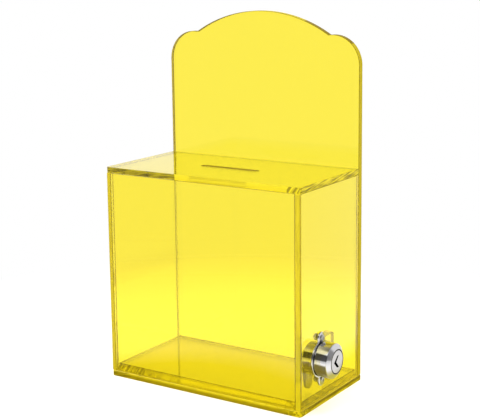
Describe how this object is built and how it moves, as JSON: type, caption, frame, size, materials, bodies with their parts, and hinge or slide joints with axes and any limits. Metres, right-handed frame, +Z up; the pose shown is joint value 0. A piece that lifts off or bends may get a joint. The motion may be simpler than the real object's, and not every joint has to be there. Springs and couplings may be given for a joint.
{
  "type": "collection box",
  "caption": "Clear tinted acrylic collection box with a drop slot on top, a tall shaped header behind it and a keyed cam lock low on its side; the hood lifts off a layered base.",
  "frame": {"origin": "middle of the foot plate's underside, on the surface that the box stands on", "axes": "+Z up, -Y towards the front wall, +X towards the right wall, which carries the lock"},
  "size_m": [0.2164, 0.107, 0.329],
  "materials": {
    "acrylic": "clear yellow cast acrylic, polished on its faces and edges",
    "chrome": "bright chrome plate on a zinc casting",
    "steel": "bright zinc-plated steel"
  },
  "bodies": {
    "base": {"foot_plate": "acrylic", "inner_plate": "acrylic", "catch_hook": "acrylic"},
    "hood": {"back_panel": "acrylic", "top_plate": "acrylic", "front_wall": "acrylic", "left_wall": "acrylic", "right_wall": "acrylic", "lock_body": "chrome", "lock_screw_upper": "steel", "lock_screw_lower": "steel", "lock_nut_upper": "steel", "lock_nut_lower": "steel"},
    "plug": {"lock_plug": "chrome", "stop_washer": "steel", "lock_cam": "steel", "cam_washer": "steel", "cam_screw": "steel"}
  },
  "joints": [
    {"name": "hood_lift", "type": "slide", "parent": "base", "child": "hood", "axis": [0, 0, 1], "range_m": [0, 0.06]},
    {"name": "plug_turn", "type": "hinge", "parent": "hood", "child": "plug", "pos_m": [0.1, -0.021, 0.0423], "axis": [1, 0, 0], "range_deg": [0, 90]}
  ]
}
